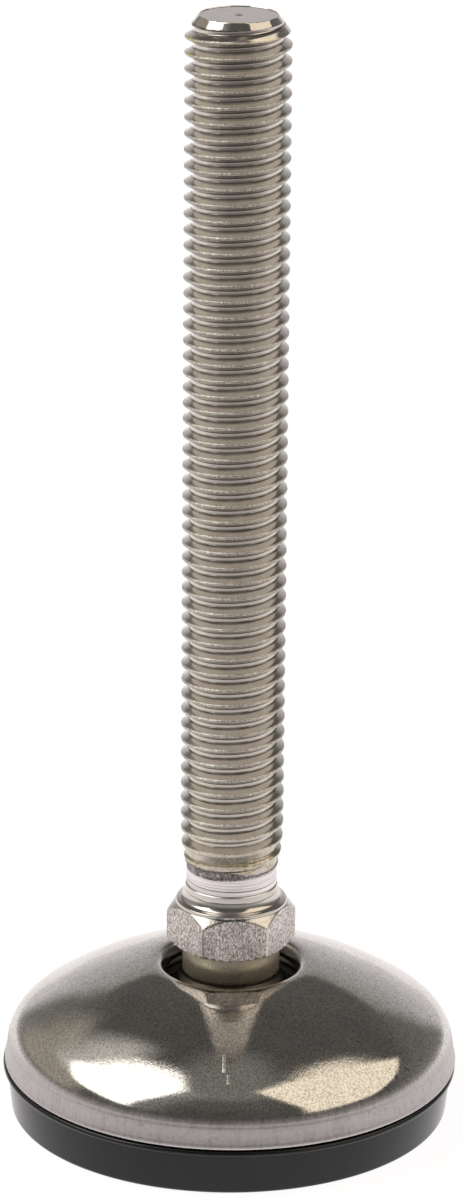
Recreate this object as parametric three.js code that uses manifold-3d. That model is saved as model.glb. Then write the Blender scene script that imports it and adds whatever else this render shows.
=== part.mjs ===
// Furniture levelling foot: a welded stud (threaded rod + hexagon with a ball end) held in a pressed
// dome base, standing on a push-in rubber pad. The ball gives the base its tilt and its free turn.
// Millimetres, +Z up. The origin is the centre of the pad's underside, on the floor; the stud's
// axis is Z. Names ending in _R are radii from that axis, names ending in _Z heights.
import * as THREE from "three";
import { mergeVertices } from "three/addons/utils/BufferGeometryUtils.js";
import Module from "manifold-3d";

// ---------------------------------------------------------------- shared dimensions
const OVERALL_H = 106.94; // floor to the stud's end face
const WELD_Z = 24.8; // seam between the rod and the hexagon's neck

// Ball joint, all surfaces concentric
const BALL_Z = 8.5;
const BALL_R = 7.0;
const LINER_IN_R = 7.15;
const LINER_OUT_R = 7.85;
const SOCKET_R = 8.05;

// Facets in one turn of the lathed pieces
const FACETS = { rod: 24, hexagon: 36, joint: 30, base: 40 };

const JOIN_TOLERANCE = 1e-4; // vertices closer than this are one

// ---------------------------------------------------------------- helpers
const wasm = await Module();
wasm.setup();
const { degToRad, radToDeg } = THREE.MathUtils;

// A closed geometry as a solid, faces turned outwards.
function solidOf(geometry) {
  const bare = new THREE.BufferGeometry()
    .setAttribute("position", geometry.attributes.position)
    .setIndex(geometry.index);
  const { index, attributes } = mergeVertices(bare, JOIN_TOLERANCE);
  const triangles = [];
  let volume = 0; // six times the enclosed volume; negative when inside out
  for (let i = 0; i < index.count; i += 3) {
    const corners = [0, 1, 2].map((k) => index.getX(i + k));
    if (new Set(corners).size < 3) continue;
    triangles.push(corners);
    const [first, second, third] = corners.map((corner) =>
      new THREE.Vector3().fromBufferAttribute(attributes.position, corner),
    );
    volume += first.dot(second.cross(third));
  }
  if (volume < 0) triangles.forEach((corners) => corners.reverse());
  return new wasm.Manifold(
    new wasm.Mesh({
      numProp: 3,
      vertProperties: attributes.position.array,
      triVerts: new Uint32Array(triangles.flat()),
    }),
  );
}

// A solid from flat lists of coordinates and of triangle corners.
function solidFromLists(coordinates, triangles) {
  return solidOf(
    new THREE.BufferGeometry()
      .setAttribute("position", new THREE.Float32BufferAttribute(coordinates, 3))
      .setIndex(triangles),
  );
}

function geometryOf(solid) {
  const mesh = solid.getMesh();
  const geometry = new THREE.BufferGeometry()
    .setAttribute("position", new THREE.BufferAttribute(mesh.vertProperties, 3))
    .setIndex(new THREE.BufferAttribute(mesh.triVerts, 1));
  geometry.computeVertexNormals();
  return geometry;
}

// Turns a profile of [radius, height] pairs about Z. It closes on the axis or on itself.
function lathe(profile, facets) {
  const points = profile.map(([radius, z]) => new THREE.Vector2(radius, z));
  if (points[0].x > 0 || points.at(-1).x > 0) points.push(points[0].clone());
  return solidOf(new THREE.LatheGeometry(points, facets).rotateX(Math.PI / 2));
}

// [radius, height] pairs on a circle about the ball's centre, between two angles from its top pole.
function arc(radius, fromDegrees, toDegrees, steps) {
  return Array.from({ length: steps + 1 }, (_, i) => {
    const angle = degToRad(fromDegrees + ((toDegrees - fromDegrees) * i) / steps);
    return [radius * Math.sin(angle), BALL_Z + radius * Math.cos(angle)];
  });
}

// Angle from the top pole at which a sphere about the ball's centre stands at a height.
function poleAngleAt(z, radius) {
  return radToDeg(Math.acos((z - BALL_Z) / radius));
}

function prism(shape, bottomZ, depth, curveSegments = 12) {
  return solidOf(
    new THREE.ExtrudeGeometry(shape, { depth, bevelEnabled: false, curveSegments })
      .translate(0, 0, bottomZ),
  );
}

function pointAround(radius, angle, z) {
  return [radius * Math.cos(angle), radius * Math.sin(angle), z];
}

function quad(first, second, third, fourth) {
  return [first, second, third, first, third, fourth];
}

// ---------------------------------------------------------------- threaded rod
// M10 x 1.5, right hand
const PITCH = 1.5;
const MAJOR_R = 4.878;
const MINOR_R = 4.08;
const CREST_FLAT = 0.19;
const ROOT_FLAT = 0.36;
const THREAD_STEPS = 12; // facets in one turn
const CREST_Z_LEFT = 103.457; // height of a crest on the -X side, which fixes the helix's phase
const THREAD_TIP = 3; // the untrimmed thread's end cones reach this far past its helix
const END_FACE_R = 3.6;
const END_CHAMFER_Z = OVERALL_H - 1.65;
const ENVELOPE_R = 5.2; // clear of the crests

// The rod's outside: chamfered end above, and a crest that dies away above the weld seam.
// [radius, height]
const ROD_OUTSIDE = [
  [0, WELD_Z], [4.4, WELD_Z], [4.6, 25.8], [4.76, 26.6], [4.82, 28.2],
  [ENVELOPE_R, 31.0],
  [ENVELOPE_R, END_CHAMFER_Z],
  [MAJOR_R + 0.02, END_CHAMFER_Z],
  [END_FACE_R, OVERALL_H],
  [0, OVERALL_H],
];

// The core keeps the thread's root from running through the weld's plain land.
// [radius, height]
const ROD_CORE = [
  [0, WELD_Z], [4.31, WELD_Z], [4.35, 25.9], [4.0, 27.6], [3.5, 28.2], [0, 28.2],
];

// Right-hand helicoid: every column of points is one step round the helix and
// spans crest, flank, root; the last strip of a turn is the flank up to the next turn.
function helicoid(bottomZ, topZ) {
  const flank = (PITCH - CREST_FLAT - ROOT_FLAT) / 2;
  const rootStart = CREST_FLAT / 2 + flank;
  const section = [ // [radius, rise from the crest's middle]
    [MAJOR_R, -CREST_FLAT / 2],
    [MAJOR_R, CREST_FLAT / 2],
    [MINOR_R, rootStart],
    [MINOR_R, rootStart + ROOT_FLAT],
  ];
  // At -X (half a turn) a crest stands at CREST_Z_LEFT.
  const turnsDown = Math.ceil((CREST_Z_LEFT - bottomZ) / PITCH) + 2;
  const startZ = CREST_Z_LEFT - PITCH / 2 - turnsDown * PITCH;
  const last = Math.ceil((topZ - startZ) / PITCH + 2) * THREAD_STEPS;

  const coordinates = [];
  for (let i = 0; i <= last; i++) {
    const angle = (2 * Math.PI * i) / THREAD_STEPS;
    const z = startZ + (PITCH * i) / THREAD_STEPS;
    for (const [radius, rise] of section)
      coordinates.push(...pointAround(radius, angle, z + rise));
  }
  // Row 4 of a column is row 0 of the column one turn above.
  const vertex = (column, row) =>
    row === 4 ? (column + THREAD_STEPS) * 4 : column * 4 + row;
  const triangles = [];
  for (let i = 0; i < last; i++)
    for (let j = 0; j < 4; j++) {
      if (j === 3 && i >= last - THREAD_STEPS) continue;
      triangles.push(
        ...quad(vertex(i, j), vertex(i + 1, j), vertex(i + 1, j + 1), vertex(i, j + 1)),
      );
    }

  // Each end closes in a cone from its open edge to a tip on the axis.
  const bottomTip = (last + 1) * 4;
  const topTip = bottomTip + 1;
  coordinates.push(0, 0, startZ - THREAD_TIP);
  coordinates.push(0, 0, startZ + (PITCH * last) / THREAD_STEPS + THREAD_TIP);
  const bottomEdge = [0, 1, 2, 3].map((row) => vertex(0, row));
  for (let i = THREAD_STEPS; i >= 0; i--) bottomEdge.push(vertex(i, 0));
  for (let k = 0; k + 1 < bottomEdge.length; k++)
    triangles.push(bottomEdge[k], bottomEdge[k + 1], bottomTip);
  const topEdge = [0, 1, 2, 3].map((row) => vertex(last, row));
  for (let i = last - 1; i >= last - THREAD_STEPS; i--) topEdge.push(vertex(i, 3));
  topEdge.push(vertex(last, 0));
  for (let k = 0; k + 1 < topEdge.length; k++)
    triangles.push(topEdge[k + 1], topEdge[k], topTip);
  return solidFromLists(coordinates, triangles);
}

function threadedSpindle() {
  return helicoid(WELD_Z, OVERALL_H)
    .intersect(lathe(ROD_OUTSIDE, FACETS.rod))
    .add(lathe(ROD_CORE, FACETS.rod));
}

// ---------------------------------------------------------------- hexagon and ball end
const HEX_FLAT_R = 10.68 / 2; // half the width across flats
const HEX_CORNER_R = HEX_FLAT_R / Math.cos(degToRad(30));
const HEX_TURN = 4.2; // degrees about Z; at 0 a flat would face -Y
const HEX_BOTTOM_Z = 16.75;
const HEX_BOTTOM_CORNER_Z = 17.23; // lower chamfer meets a corner
const HEX_TOP_CORNER_Z = 20.01; // upper chamfer meets a corner
const LOWER_CHAMFER_REACH = 1.4; // the chamfer cones run out past the corners
const UPPER_CHAMFER_REACH = 1.3;

const COLLAR_R = 5.27; // round collar above the hexagon
const COLLAR_FOOT_Z = 20.97;
const COLLAR_RIM_Z = 21.22;
const COLLAR_TOP_Z = 21.61; // its slightly conical top meets the neck here
const COLLAR_BEVEL = 0.08;
const COLLAR_ROOT_R = 4.9; // hidden root, sunk into the hexagon
const COLLAR_ROOT_DEPTH = 0.4;

const TURNED_NECK_R = 4.29;
const NECK_FOOT_R = 4.46; // the turned neck widens a little to its foot
const BARREL_R = 4.64; // smooth neck between hexagon and ball
const BARREL_TOP_Z = HEX_BOTTOM_Z + 0.5; // ends inside the hexagon
const STEM_CORE_R = 4.0; // inside the hexagon and collar
const BALL_FLAT_Z = 3.3; // turned flat under the ball

function hexagon() {
  const corners = Array.from({ length: 6 }, (_, i) => {
    const angle = degToRad(60 * i + HEX_TURN);
    return new THREE.Vector2(HEX_CORNER_R * Math.cos(angle), HEX_CORNER_R * Math.sin(angle));
  });
  const upperSlope = (COLLAR_FOOT_Z - HEX_TOP_CORNER_Z) / (HEX_CORNER_R - COLLAR_R);
  const lowerSlope = (HEX_BOTTOM_CORNER_Z - HEX_BOTTOM_Z) / (HEX_CORNER_R - HEX_FLAT_R);
  const chamfers = lathe(
    [
      [0, HEX_BOTTOM_Z],
      [HEX_FLAT_R, HEX_BOTTOM_Z],
      [HEX_FLAT_R + LOWER_CHAMFER_REACH, HEX_BOTTOM_Z + LOWER_CHAMFER_REACH * lowerSlope],
      [COLLAR_R + UPPER_CHAMFER_REACH, COLLAR_FOOT_Z - UPPER_CHAMFER_REACH * upperSlope],
      [COLLAR_R, COLLAR_FOOT_Z],
      [0, COLLAR_FOOT_Z],
    ],
    FACETS.hexagon,
  );
  return prism(new THREE.Shape(corners), HEX_BOTTOM_Z, COLLAR_FOOT_Z - HEX_BOTTOM_Z)
    .intersect(chamfers);
}

// Collar and the widened foot of the turned neck above it.
function collar() {
  return lathe(
    [
      [0, COLLAR_FOOT_Z - COLLAR_ROOT_DEPTH],
      [COLLAR_ROOT_R, COLLAR_FOOT_Z - COLLAR_ROOT_DEPTH],
      [COLLAR_ROOT_R, COLLAR_FOOT_Z],
      [COLLAR_R, COLLAR_FOOT_Z],
      [COLLAR_R, COLLAR_RIM_Z],
      [COLLAR_R - COLLAR_BEVEL, COLLAR_RIM_Z + COLLAR_BEVEL],
      [NECK_FOOT_R, COLLAR_TOP_Z],
      [4.4, 22.3],
      [4.37, 22.85],
      [TURNED_NECK_R, 23.2],
      [0, 23.2],
    ],
    FACETS.hexagon,
  );
}

// Ball, barrel and turned neck in one turning.
function ballStem() {
  const barrelAngle = radToDeg(Math.asin(BARREL_R / BALL_R));
  return lathe(
    [
      [0, BALL_FLAT_Z],
      ...arc(BALL_R, poleAngleAt(BALL_FLAT_Z, BALL_R), barrelAngle, 8),
      [BARREL_R, BARREL_TOP_Z],
      [STEM_CORE_R, BARREL_TOP_Z],
      [STEM_CORE_R, 22.6],
      [TURNED_NECK_R, 23.0],
      [TURNED_NECK_R, WELD_Z],
      [0, WELD_Z],
    ],
    FACETS.joint,
  );
}

function hexBallEnd() {
  return ballStem().add(hexagon()).add(collar());
}

// ---------------------------------------------------------------- dome
const HOLE_R = 6.25; // just passes the hexagon across its corners
const RIM_Z = 4.774;

// Outside of the pressing from the rim up to the rounded edge of the hole. [radius, height]
const DOME_OUTSIDE = [
  [21.62, RIM_Z], [21.74, 4.95], [21.72, 5.2], [21.56, 5.6], [21.46, 6.3],
  [21.36, 6.95], [21.1, 7.75], [20.75, 8.35], [20.13, 9.0], [18.33, 10.27],
  [16.52, 11.34], [14.72, 12.26], [13.2, 12.92], [11.6, 13.55], [10.4, 13.97],
  [9.2, 14.34], [8.5, 14.52], [7.85, 14.58], [7.3, 14.54], [6.85, 14.38],
  [6.5, 14.12], [HOLE_R + 0.04, 13.8], [HOLE_R, 13.5],
];

// Inside from the hole back down to the rim. [radius, height]
const DOME_INSIDE = [
  [6.5, 13.24], [7.3, 13.33], [8.2, 13.31], [9.3, 13.04], [12.25, 12.08],
  [15.9, 10.35], [19.25, 8.15], [19.9, 7.0], [20.0, 5.86],
  [20.5, 5.82], [20.5, 4.92], // groove of the retaining ring
  [20.1, 4.88], [20.1, RIM_Z],
];

function domeShell() {
  return lathe([...DOME_OUTSIDE, ...DOME_INSIDE], FACETS.base);
}

// ---------------------------------------------------------------- crown ring
// Backing ring: takes the pull of the ball from the upper seat to the dome's crown.
function crownRing() {
  return lathe(
    [...arc(SOCKET_R, 61, 85, 3), [11.4, 9.2], [11.4, 12.0], [9.3, 12.6], [7.2, 12.95]],
    FACETS.joint,
  );
}

// ---------------------------------------------------------------- ball liners
// from, to: degrees from the ball's top pole; slitAngle: degrees about Z
const UPPER_SEAT = { from: 60, to: 84.5, slitAngle: 90 };
const LOWER_CUP = { from: 96, to: 133, slitAngle: 270 };
// Box that cuts the slit, so that a liner springs over the ball
const SLIT = { length: 10, width: 0.8, height: 30, centreR: 7 };

// Spherical liner between ball and socket, slit on one side.
function liner({ from, to, slitAngle }) {
  const ring = lathe(
    [...arc(LINER_IN_R, from, to, 4), ...arc(LINER_OUT_R, to, from, 4)],
    FACETS.joint,
  );
  const slit = solidOf(
    new THREE.BoxGeometry(SLIT.length, SLIT.width, SLIT.height)
      .translate(SLIT.centreR, 0, BALL_Z)
      .rotateZ(degToRad(slitAngle)),
  );
  return ring.subtract(slit);
}

// ---------------------------------------------------------------- socket plate
const PLATE_R = 19.55;
const PLATE_BOTTOM_Z = 6.35;
const PLATE_TOP_Z = 7.7;
const CUP_BOTTOM_Z = 1.1;
const CUP_FLOOR_Z = 2.0;
const CUP_RIM_Z = 9.0;

// A disc with a deep cup that carries the ball and presses on the pad.
function socketPlate() {
  const rimAngle = poleAngleAt(CUP_RIM_Z, SOCKET_R);
  const floorAngle = poleAngleAt(CUP_FLOOR_Z, SOCKET_R);
  return lathe(
    [
      [0, CUP_BOTTOM_Z],
      [7.0, CUP_BOTTOM_Z],
      [7.7, 1.4],
      [9.7, PLATE_BOTTOM_Z],
      [PLATE_R, PLATE_BOTTOM_Z],
      [PLATE_R, 7.1],
      [19.0, PLATE_TOP_Z],
      [11.8, PLATE_TOP_Z],
      [11.3, CUP_RIM_Z],
      ...arc(SOCKET_R, rimAngle, floorAngle, 6),
      [0, CUP_FLOOR_Z],
    ],
    FACETS.joint,
  );
}

// ---------------------------------------------------------------- wave spring
const SPRING = {
  innerR: 18.5,
  outerR: 19.65,
  thickness: 0.25,
  middleZ: 6.02,
  amplitude: 0.1,
  waves: 3,
  steps: 36,
};

// A thin waved ring that keeps the ball joint preloaded.
function waveSpring() {
  const { innerR, outerR, thickness, middleZ, amplitude, waves, steps } = SPRING;
  const section = [ // [radius, offset from the ring's middle surface]
    [innerR, -thickness / 2],
    [outerR, -thickness / 2],
    [outerR, thickness / 2],
    [innerR, thickness / 2],
  ];
  const vertex = (column, row) => (column % steps) * 4 + (row % 4);
  const coordinates = [];
  const triangles = [];
  for (let i = 0; i < steps; i++) {
    const angle = (2 * Math.PI * i) / steps;
    const z = middleZ + amplitude * Math.sin(waves * angle);
    section.forEach(([radius, offset], j) => {
      coordinates.push(...pointAround(radius, angle, z + offset));
      triangles.push(
        ...quad(vertex(i, j), vertex(i, j + 1), vertex(i + 1, j + 1), vertex(i + 1, j)),
      );
    });
  }
  return solidFromLists(coordinates, triangles);
}

// ---------------------------------------------------------------- retaining ring
const SNAP_RING = {
  innerR: 18.55,
  outerR: 20.32,
  bottomZ: 5.02,
  thickness: 0.68,
  halfGap: 9, // degrees either side of +Y
};

// An open snap ring in the groove above the rim.
function retainingRing() {
  const { innerR, outerR, bottomZ, thickness, halfGap } = SNAP_RING;
  const start = degToRad(90 + halfGap);
  const end = degToRad(450 - halfGap);
  const outline = new THREE.Shape();
  outline.absarc(0, 0, outerR, start, end, false);
  outline.absarc(0, 0, innerR, end, start, true);
  outline.closePath();
  return prism(outline, bottomZ, thickness, 16);
}

// ---------------------------------------------------------------- rubber pad
const PAD_BOTTOM_R = 20.83;
const PAD_BEAD_R = 21.77;
const PAD_TOP_Z = 4.64;
const PAD_BOSS_R = 18.2;
const PAD_BOSS_Z = 6.2;
const PAD_SKIN = 0.8; // thickness under the hollow in the middle
const GROOVE_INNER_RADII = [12.0, 16.2];
const GROOVE_DEPTH = 0.45;

function rubberPad() {
  // Two shallow grip grooves under the pad
  const grooves = GROOVE_INNER_RADII.flatMap((radius) => [
    [radius, 0],
    [radius + 0.2, GROOVE_DEPTH],
    [radius + 1.0, GROOVE_DEPTH],
    [radius + 1.2, 0],
  ]);
  return lathe(
    [
      [0, 0],
      ...grooves,
      [PAD_BOTTOM_R - 0.45, 0],
      [PAD_BOTTOM_R - 0.1, 0.12],
      [PAD_BOTTOM_R + 0.03, 0.4],
      [21.34, 3.85],
      [21.6, 4.0],
      [PAD_BEAD_R, 4.3],
      [21.68, 4.56],
      [21.5, PAD_TOP_Z],
      [PAD_BOSS_R, PAD_TOP_Z],
      [PAD_BOSS_R - 0.1, PAD_BOSS_Z - 0.2],
      [PAD_BOSS_R - 0.4, PAD_BOSS_Z],
      [10.25, PAD_BOSS_Z],
      [8.25, PAD_SKIN + 0.35],
      [7.8, PAD_SKIN],
      [0, PAD_SKIN],
    ],
    FACETS.base,
  );
}

// ---------------------------------------------------------------- materials
function material({ color, roughness, metalness = 1 }) {
  return new THREE.MeshStandardMaterial({ color, roughness, metalness });
}

const MATERIALS = {
  spindle: material({ color: 0xa9a199, roughness: 0.28 }),
  hexEnd: material({ color: 0xb9b1ad, roughness: 0.35 }),
  dome: material({ color: 0x8a8783, roughness: 0.3 }),
  socket: material({ color: 0x8f8f92, roughness: 0.45 }),
  spring: material({ color: 0x5c5c60, roughness: 0.35 }),
  snapRing: material({ color: 0x6a6a6e, roughness: 0.4 }),
  liner: material({ color: 0x2b2b2d, roughness: 0.5, metalness: 0 }),
  rubber: material({ color: 0x1d1d1f, roughness: 0.4, metalness: 0 }),
};

// ---------------------------------------------------------------- the assembly
function part(name, solid, surface) {
  const mesh = new THREE.Mesh(geometryOf(solid), surface);
  mesh.name = name;
  return mesh;
}

const stud = new THREE.Group();
stud.add(
  part("threaded_spindle", threadedSpindle(), MATERIALS.spindle),
  part("hex_ball_end", hexBallEnd(), MATERIALS.hexEnd),
);

const joint = new THREE.Group();
joint.add(
  part("upper_ball_seat", liner(UPPER_SEAT), MATERIALS.liner),
  part("lower_ball_cup", liner(LOWER_CUP), MATERIALS.liner),
);

const base = new THREE.Group();
base.add(
  part("dome_shell", domeShell(), MATERIALS.dome),
  part("crown_ring", crownRing(), MATERIALS.socket),
  part("socket_plate", socketPlate(), MATERIALS.socket),
  part("wave_spring", waveSpring(), MATERIALS.spring),
  part("retaining_ring", retainingRing(), MATERIALS.snapRing),
  part("rubber_pad", rubberPad(), MATERIALS.rubber),
);

const group = new THREE.Group();
group.add(base, joint, stud);

export default group;
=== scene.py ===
"""A levelling foot: threaded stud with hexagon and ball end, pressed dome and rubber pad.

It stands upright on the floor at z = 0, its axis on Z. The camera looks from -Y, so -X is
on its left. Sizes are millimetres unless said otherwise; meshes are built in metres.
"""
import math

import bmesh
import bpy
import numpy as np
from mathutils import Matrix, Vector


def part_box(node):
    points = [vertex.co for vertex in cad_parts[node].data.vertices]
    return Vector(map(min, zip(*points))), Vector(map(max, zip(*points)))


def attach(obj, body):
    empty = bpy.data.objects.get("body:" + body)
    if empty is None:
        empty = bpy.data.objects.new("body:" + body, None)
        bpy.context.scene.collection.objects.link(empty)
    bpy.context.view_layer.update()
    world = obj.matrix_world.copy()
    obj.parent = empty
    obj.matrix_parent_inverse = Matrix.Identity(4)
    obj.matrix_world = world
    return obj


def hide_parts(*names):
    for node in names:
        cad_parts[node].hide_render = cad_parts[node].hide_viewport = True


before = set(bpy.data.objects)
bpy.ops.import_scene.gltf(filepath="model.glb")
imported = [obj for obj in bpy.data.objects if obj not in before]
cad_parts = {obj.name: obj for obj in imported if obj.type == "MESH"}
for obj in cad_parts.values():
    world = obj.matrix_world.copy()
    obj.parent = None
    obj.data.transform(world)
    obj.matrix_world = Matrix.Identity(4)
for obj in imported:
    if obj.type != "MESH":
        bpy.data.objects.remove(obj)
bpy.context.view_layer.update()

MM = 0.001
FULL_TURN = 2 * math.pi

# ------------------------------------------------------------------ shared dimensions
ROD_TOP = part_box("threaded_spindle")[1][2] / MM
WELD_Z = 24.8  # joint between the threaded rod and the hexagon's neck
WELD_R = 4.31

PITCH = 1.5
MAJOR_R, MINOR_R = 4.878, 4.08
LEFT_CREST_Z = 103.457  # height of one thread crest on the -X side

NECK_R = 4.29
HEX_ACROSS_FLATS = 10.68
HEX_TURN = math.radians(4.2)  # angle of the first corner from +X
BARREL_R = 4.64  # cylinder between ball and hexagon

BALL_Z, BALL_R = 8.5, 7.0
BALL_FLAT_Z = 3.3
LINER_IN_R, LINER_OUT_R = 7.15, 7.85
SOCKET_R = 8.05

DOME_HOLE_R = 6.25
DOME_RIM_Z = 4.774


# ------------------------------------------------------------------ outlines, as (r, z) points
def fillet(points, steps):
    """Rounds the corners of a polyline of (r, z) or (r, z, radius) points."""
    rounded = []
    for i, point in enumerate(points):
        wanted = point[2] if len(point) > 2 else 0
        if not wanted or i in (0, len(points) - 1):
            rounded.append(tuple(point[:2]))
            continue
        corner = Vector(point[:2])
        back = Vector(points[i - 1][:2]) - corner
        ahead = Vector(points[i + 1][:2]) - corner
        room = (0.49 * back.length, 0.49 * ahead.length)
        back.normalize()
        ahead.normalize()
        half = back.angle(ahead) / 2
        setback = min(wanted / math.tan(half), *room)
        radius = setback * math.tan(half)
        centre = corner + (back + ahead).normalized() * (radius / math.sin(half))
        first = corner + back * setback - centre
        last = corner + ahead * setback - centre
        swing = first.angle_signed(last)
        for k in range(steps + 1):
            spoke = first.copy()
            spoke.rotate(Matrix.Rotation(-swing * k / steps, 2))
            rounded.append(tuple(centre + spoke))
    return rounded


def spline(points, steps):
    """A natural cubic curve through the points, spaced by chord length."""
    knots = np.array(points, dtype=float)
    count = len(knots)
    along = np.r_[0, np.cumsum(np.hypot(*np.diff(knots, axis=0).T))]
    gaps = np.diff(along)
    slopes = np.diff(knots, axis=0) / gaps[:, None]
    matrix = np.eye(count)
    bend = np.zeros((count, 2))
    for i in range(1, count - 1):
        matrix[i, i - 1:i + 2] = gaps[i - 1], 2 * (gaps[i - 1] + gaps[i]), gaps[i]
        bend[i] = 6 * (slopes[i] - slopes[i - 1])
    second = np.linalg.solve(matrix, bend)
    at = np.linspace(0, along[-1], steps + 1)
    k = np.clip(np.searchsorted(along, at, side="right") - 1, 0, count - 2)
    u = (at - along[k])[:, None]
    gap = gaps[k][:, None]
    curve = (
        knots[k]
        + u * (slopes[k] - gap * (2 * second[k] + second[k + 1]) / 6)
        + u**2 * second[k] / 2
        + u**3 * (second[k + 1] - second[k]) / (6 * gap)
    )
    return [tuple(point) for point in curve.tolist()]


def ball_arc(radius, start, end, steps):
    """An arc about the ball's centre, in degrees down from the top."""
    angles = [math.radians(start + (end - start) * i / steps) for i in range(steps + 1)]
    return [(radius * math.sin(a), BALL_Z + radius * math.cos(a)) for a in angles]


def ball_angle(z, radius):
    """Degrees down from the top at which a sphere about the ball's centre reaches z."""
    return math.degrees(math.acos((z - BALL_Z) / radius))


# ------------------------------------------------------------------ meshes
def polar(r, angle, z):
    return (r * math.cos(angle), r * math.sin(angle), z)


def even_angles(count):
    return [FULL_TURN * i / count for i in range(count)]


def add_face(faces, corners):
    """Adds a face, leaving out corners that repeat their neighbour."""
    kept = [int(v) for i, v in enumerate(corners) if v != corners[i - 1]]
    if len(kept) >= 3:
        faces.append(kept)


def link_object(name, mesh):
    ob = bpy.data.objects.new(name, mesh)
    bpy.context.scene.collection.objects.link(ob)
    return ob


def mesh_object(name, verts, faces, sharp):
    """A clean, outward-facing mesh; edges steeper than sharp degrees stay hard."""
    mesh = bpy.data.meshes.new(name)
    mesh.from_pydata((np.asarray(verts, dtype=float) * MM).tolist(), [], faces)
    mesh.validate()
    bm = bmesh.new()
    bm.from_mesh(mesh)
    bmesh.ops.remove_doubles(bm, verts=bm.verts, dist=1e-8)
    bmesh.ops.dissolve_degenerate(bm, edges=bm.edges, dist=1e-9)
    bmesh.ops.recalc_face_normals(bm, faces=bm.faces)
    if bm.calc_volume(signed=True) < 0:
        bmesh.ops.reverse_faces(bm, faces=bm.faces)
    bm.to_mesh(mesh)
    bm.free()
    mesh.shade_smooth()
    mesh.set_sharp_from_angle(angle=math.radians(sharp))
    return link_object(name, mesh)


def lathe(name, profile, angles, closed=False, shape=None, sharp=32.0):
    """Turns a profile about Z.

    closed joins the last point to the first; shape(r, z, angle) may move each point.
    """
    verts, rows = [], []
    for r, z in profile:
        if r < 1e-6:
            rows.append([len(verts)] * len(angles))
            verts.append((0, 0, z))
            continue
        rows.append(list(range(len(verts), len(verts) + len(angles))))
        for a in angles:
            new_r, new_z = shape(r, z, a) if shape else (r, z)
            verts.append(polar(new_r, a, new_z))
    faces = []
    for i in range(len(rows) if closed else len(rows) - 1):
        low, high = rows[i], rows[(i + 1) % len(rows)]
        for j in range(len(angles)):
            k = (j + 1) % len(angles)
            add_face(faces, [low[j], low[k], high[k], high[j]])
    return mesh_object(name, verts, faces, sharp)


def sweep(name, section, start, end, segments, lift=None):
    """A closed section swept about Z, with end faces unless it is a whole turn."""
    whole = abs(end - start - FULL_TURN) < 1e-9
    columns = segments if whole else segments + 1
    size = len(section)
    verts = []
    for i in range(columns):
        a = start + (end - start) * i / segments
        rise = lift(a) if lift else 0
        verts += [polar(r, a, z + rise) for r, z in section]
    faces = []
    for i in range(segments):
        k = (i + 1) % columns
        for j in range(size):
            q = (j + 1) % size
            faces.append([i * size + j, i * size + q, k * size + q, k * size + j])
    if not whole:
        faces.append(list(range(size))[::-1])
        faces.append([segments * size + j for j in range(size)])
    return mesh_object(name, verts, faces, sharp=40.0)


# ------------------------------------------------------------------ shader graphs
class Field:
    """A node output. Arithmetic and the methods below add nodes that work on it."""

    def __init__(self, graph, socket):
        self.graph = graph
        self.socket = socket

    def __add__(self, other):
        return self.graph.math("ADD", self, other)

    def __sub__(self, other):
        return self.graph.math("SUBTRACT", self, other)

    def __rsub__(self, other):
        return self.graph.math("SUBTRACT", other, self)

    def __mul__(self, other):
        return self.graph.math("MULTIPLY", self, other)

    def __abs__(self):
        return self.graph.math("ABSOLUTE", self)

    def remap(self, start, end, to):
        """Goes smoothly from to[0] at start to to[1] at end, and stays there."""
        # inputs: value, from min, from max, to min, to max
        inputs = dict(enumerate((self, start, end, *to)))
        return self.graph.value(
            "ShaderNodeMapRange", inputs, interpolation_type="SMOOTHSTEP", clamp=True)

    def rise(self, start, end):
        return self.remap(start, end, to=(0.0, 1.0))

    def fall(self, start, end):
        return self.remap(start, end, to=(1.0, 0.0))

    def window(self, opens, closes):
        """1 between two (start, end) slopes, 0 outside them."""
        return self.rise(*opens) * self.fall(*closes)

    def band(self, low, high, soft):
        """1 from low to high, with edges that blur by soft either way."""
        return self.window((low - soft, low + soft), (high - soft, high + soft))

    def mix(self, off, on):
        """Colour off where this field is 0, colour on where it is 1."""
        inputs = {0: self, 6: off, 7: on}  # the colour sockets
        return self.graph.value("ShaderNodeMix", inputs, output=2, data_type="RGBA")

    def lerp(self, off, on):
        """Number off where this field is 0, number on where it is 1."""
        inputs = {0: self, 2: off, 3: on}  # the float sockets
        return self.graph.value("ShaderNodeMix", inputs, data_type="FLOAT")


class Graph:
    """The node tree of a material or world, emptied down to its output node."""

    def __init__(self, owner, output_kind):
        owner.use_nodes = True
        self.tree = owner.node_tree
        self.tree.nodes.clear()
        self.output = self.tree.nodes.new(output_kind)

    def feed(self, value, socket):
        if isinstance(value, Field):
            self.tree.links.new(value.socket, socket)
        elif isinstance(value, tuple) and socket.type == "RGBA":
            socket.default_value = (*value, 1)
        else:
            socket.default_value = value

    def add(self, kind, inputs, **settings):
        node = self.tree.nodes.new(kind)
        for name, setting in settings.items():
            setattr(node, name, setting)
        for key, value in inputs.items():
            self.feed(value, node.inputs[key])
        return node

    def value(self, kind, inputs, output=0, **settings):
        return Field(self, self.add(kind, inputs, **settings).outputs[output])

    def math(self, operation, *operands):
        return self.value("ShaderNodeMath", dict(enumerate(operands)), operation=operation)

    def coordinate(self, kind):
        return self.value("ShaderNodeTexCoord", {}, output=kind)

    def split(self, vector):
        node = self.add("ShaderNodeSeparateXYZ", {0: vector})
        return [Field(self, socket) for socket in node.outputs]

    def finish(self, shader):
        self.feed(shader, self.output.inputs[0])


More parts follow.
